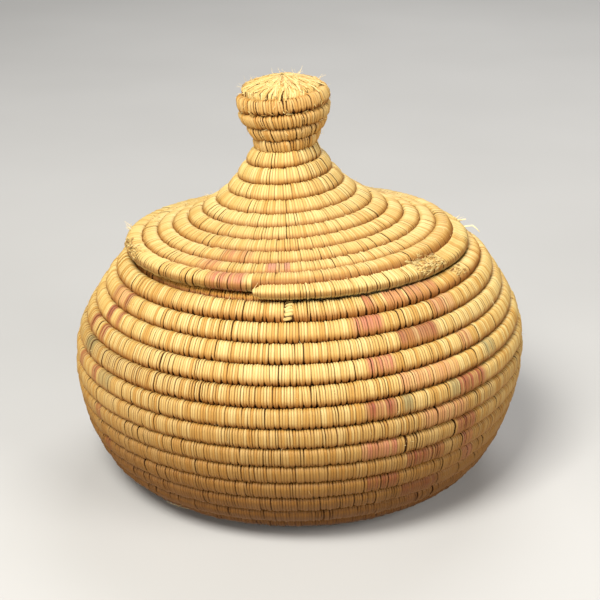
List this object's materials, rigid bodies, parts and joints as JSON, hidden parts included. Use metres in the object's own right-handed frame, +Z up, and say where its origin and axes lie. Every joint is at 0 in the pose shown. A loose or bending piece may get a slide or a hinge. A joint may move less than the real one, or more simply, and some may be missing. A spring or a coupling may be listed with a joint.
{
  "type": "lidded basket",
  "caption": "Round coiled grass basket with a wide belly and a fitted, cone-shaped lid that lifts off by a coiled knob.",
  "frame": {"origin": "the point of the flat foot that the basket's spiral starts round, on the ground", "axes": "+Z up through the basket and the way the lid lifts, -Y towards the pictured front, +X to the viewer's right"},
  "size_m": [0.1976, 0.1993, 0.1765],
  "materials": {
    "base_start_knot": "sewn dry grass, straw coloured",
    "base_coil": "sewn dry grass, straw coloured",
    "lower_wall_coil": "sewn dry grass, straw coloured",
    "upper_wall_coil": "sewn dry grass, pale straw with faded dyed patches",
    "mouth_rim_coil": "sewn dry grass, worn brown",
    "lid_start_knot": "sewn dry grass, amber",
    "knob_coil": "sewn dry grass, amber",
    "lid_cone_coil": "sewn dry grass, straw coloured",
    "lid_edge_coil": "sewn dry grass, pale straw",
    "lid_flange_coil": "sewn dry grass, straw coloured"
  },
  "bodies": {
    "basket": {"base_start_knot": "base_start_knot", "base_coil": "base_coil", "lower_wall_coil": "lower_wall_coil", "upper_wall_coil": "upper_wall_coil", "mouth_rim_coil": "mouth_rim_coil"},
    "lid": {"lid_start_knot": "lid_start_knot", "knob_coil": "knob_coil", "lid_cone_coil": "lid_cone_coil", "lid_edge_coil": "lid_edge_coil", "lid_flange_coil": "lid_flange_coil"}
  },
  "joints": [
    {"name": "lid_lift", "type": "slide", "parent": "basket", "child": "lid", "axis": [0, 0, 1], "range_m": [0, 0.12]}
  ]
}
